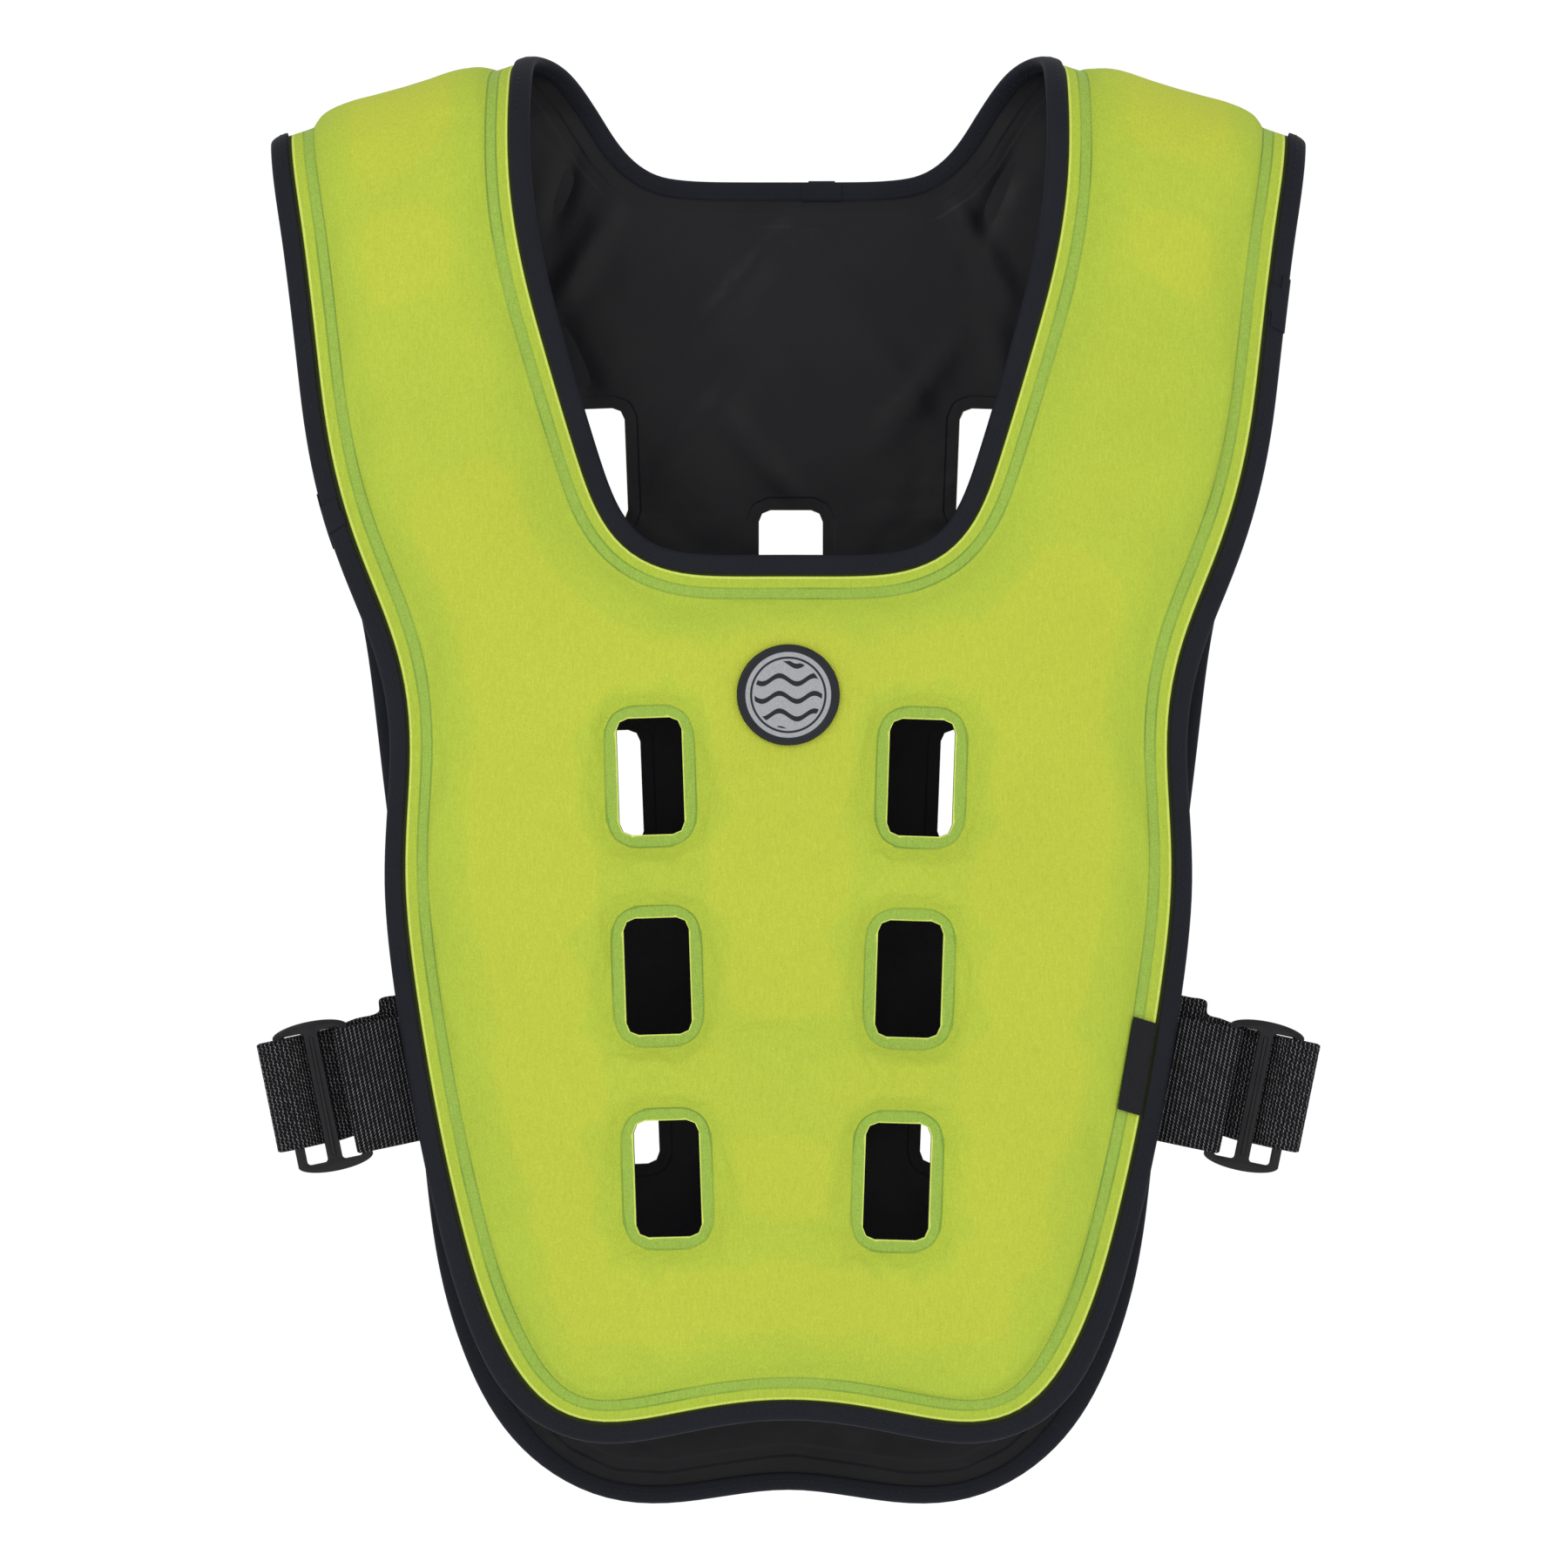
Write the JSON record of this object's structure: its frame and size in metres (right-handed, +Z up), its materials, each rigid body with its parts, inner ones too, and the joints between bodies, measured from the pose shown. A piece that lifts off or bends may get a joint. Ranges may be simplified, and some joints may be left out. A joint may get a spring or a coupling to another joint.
{
  "type": "cooling vest",
  "caption": "Pull-over evaporative cooling vest with a padded one-piece panel, cut-through vents, bound edges and an adjustable elastic strap at each side.",
  "frame": {"origin": "midway between the two places where the wearer's shoulders carry the vest, under the middle of each shoulder", "axes": "+Z up, +Y to the back of the vest, +X to the right of someone who faces its front"},
  "size_m": [0.4274, 0.1195, 0.5926],
  "materials": {
    "shell": "lime woven polyester, welded to a quilted pad",
    "lining": "black satin-woven nylon",
    "binding": "navy-black folded tape with a stitch line",
    "webbing": "black knitted elastic webbing",
    "slider": "black moulded acetal, satin",
    "label": "bare black woven label",
    "badge": "plain grey moulded badge with a dark rim"
  },
  "bodies": {
    "root": {"outer_shell": "shell", "inner_lining": "lining", "edge_binding": "binding", "neck_binding": "binding", "left_strap_loop": "webbing", "right_strap_loop": "webbing", "left_side_strap": "webbing", "right_side_strap": "webbing", "left_slider": "slider", "right_slider": "slider", "side_label": "label", "chest_badge": "badge"}
  },
  "joints": []
}
